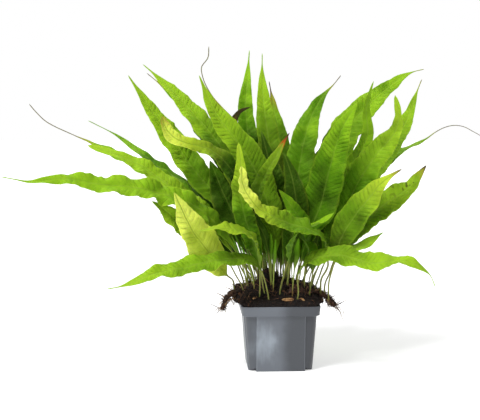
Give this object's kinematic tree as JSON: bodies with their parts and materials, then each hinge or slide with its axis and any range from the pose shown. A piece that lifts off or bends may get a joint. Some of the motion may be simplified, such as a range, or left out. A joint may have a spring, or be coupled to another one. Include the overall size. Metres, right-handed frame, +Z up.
{
  "type": "potted fern",
  "caption": "Java fern with long wavy lance-shaped fronds on thin stems, growing from creeping rhizomes in a square tapered nursery pot filled with dark soil.",
  "frame": {"origin": "centre of the pot's square foot, on the surface that the pot stands on", "axes": "+Z up out of the pot, +X to the right and +Y away when the pot's front wall is looked at square on"},
  "size_m": [0.5041, 0.3064, 0.332],
  "materials": {
    "pot_plastic": "satin",
    "soil": "matte",
    "rhizome": "matte",
    "bark_chip": "matte",
    "frond_green": "satin",
    "frond_pale": "satin"
  },
  "bodies": {
    "root": {"pot": "pot_plastic", "soil": "soil", "rhizome_left": "rhizome", "rhizome_right": "rhizome", "rhizome_front": "rhizome", "chip_1": "bark_chip", "chip_2": "bark_chip", "chip_3": "bark_chip", "frond_back_1_1": "frond_green", "frond_back_1_2": "frond_green", "frond_back_1_3": "frond_green", "frond_back_1_4": "frond_green", "frond_back_1_5": "frond_green", "frond_back_1_6": "frond_green", "frond_back_2_1": "frond_green", "frond_back_2_2": "frond_green", "frond_back_2_3": "frond_green", "frond_back_2_4": "frond_green", "frond_back_2_5": "frond_green", "frond_front_facing": "frond_green", "frond_front_flat": "frond_pale", "frond_front_pale_curl": "frond_pale", "frond_left_dark_low": "frond_green", "frond_left_fold": "frond_green", "frond_left_long": "frond_green", "frond_left_low": "frond_green", "frond_left_low_behind": "frond_green", "frond_left_narrow": "frond_green", "frond_left_pale": "frond_pale", "frond_left_tail": "frond_green", "frond_left_tall": "frond_green", "frond_left_top": "frond_green", "frond_left_top_back": "frond_green", "frond_left_yellow_tip": "frond_pale", "frond_mid_brown_curl": "frond_green", "frond_mid_brown_tip": "frond_green", "frond_mid_crinkled": "frond_green", "frond_mid_dark": "frond_green", "frond_mid_left_tall": "frond_green", "frond_mid_left_thread": "frond_green", "frond_mid_light_fold": "frond_green", "frond_mid_low_centre": "frond_green", "frond_mid_low_inner": "frond_green", "frond_mid_low_left": "frond_green", "frond_mid_low_right": "frond_green", "frond_mid_right_dark": "frond_green", "frond_right_broad_light": "frond_green", "frond_right_dark_tip": "frond_green", "frond_right_light_tip": "frond_green", "frond_right_low": "frond_green", "frond_right_mid_tall": "frond_green", "frond_right_quilted": "frond_green", "frond_right_small": "frond_green", "frond_right_thin_tail": "frond_green", "frond_right_top": "frond_green", "frond_right_top_outer": "frond_green", "frond_right_twisted": "frond_green", "frond_top_dark": "frond_green", "frond_top_left": "frond_green", "frond_top_mid": "frond_green"}
  },
  "joints": []
}
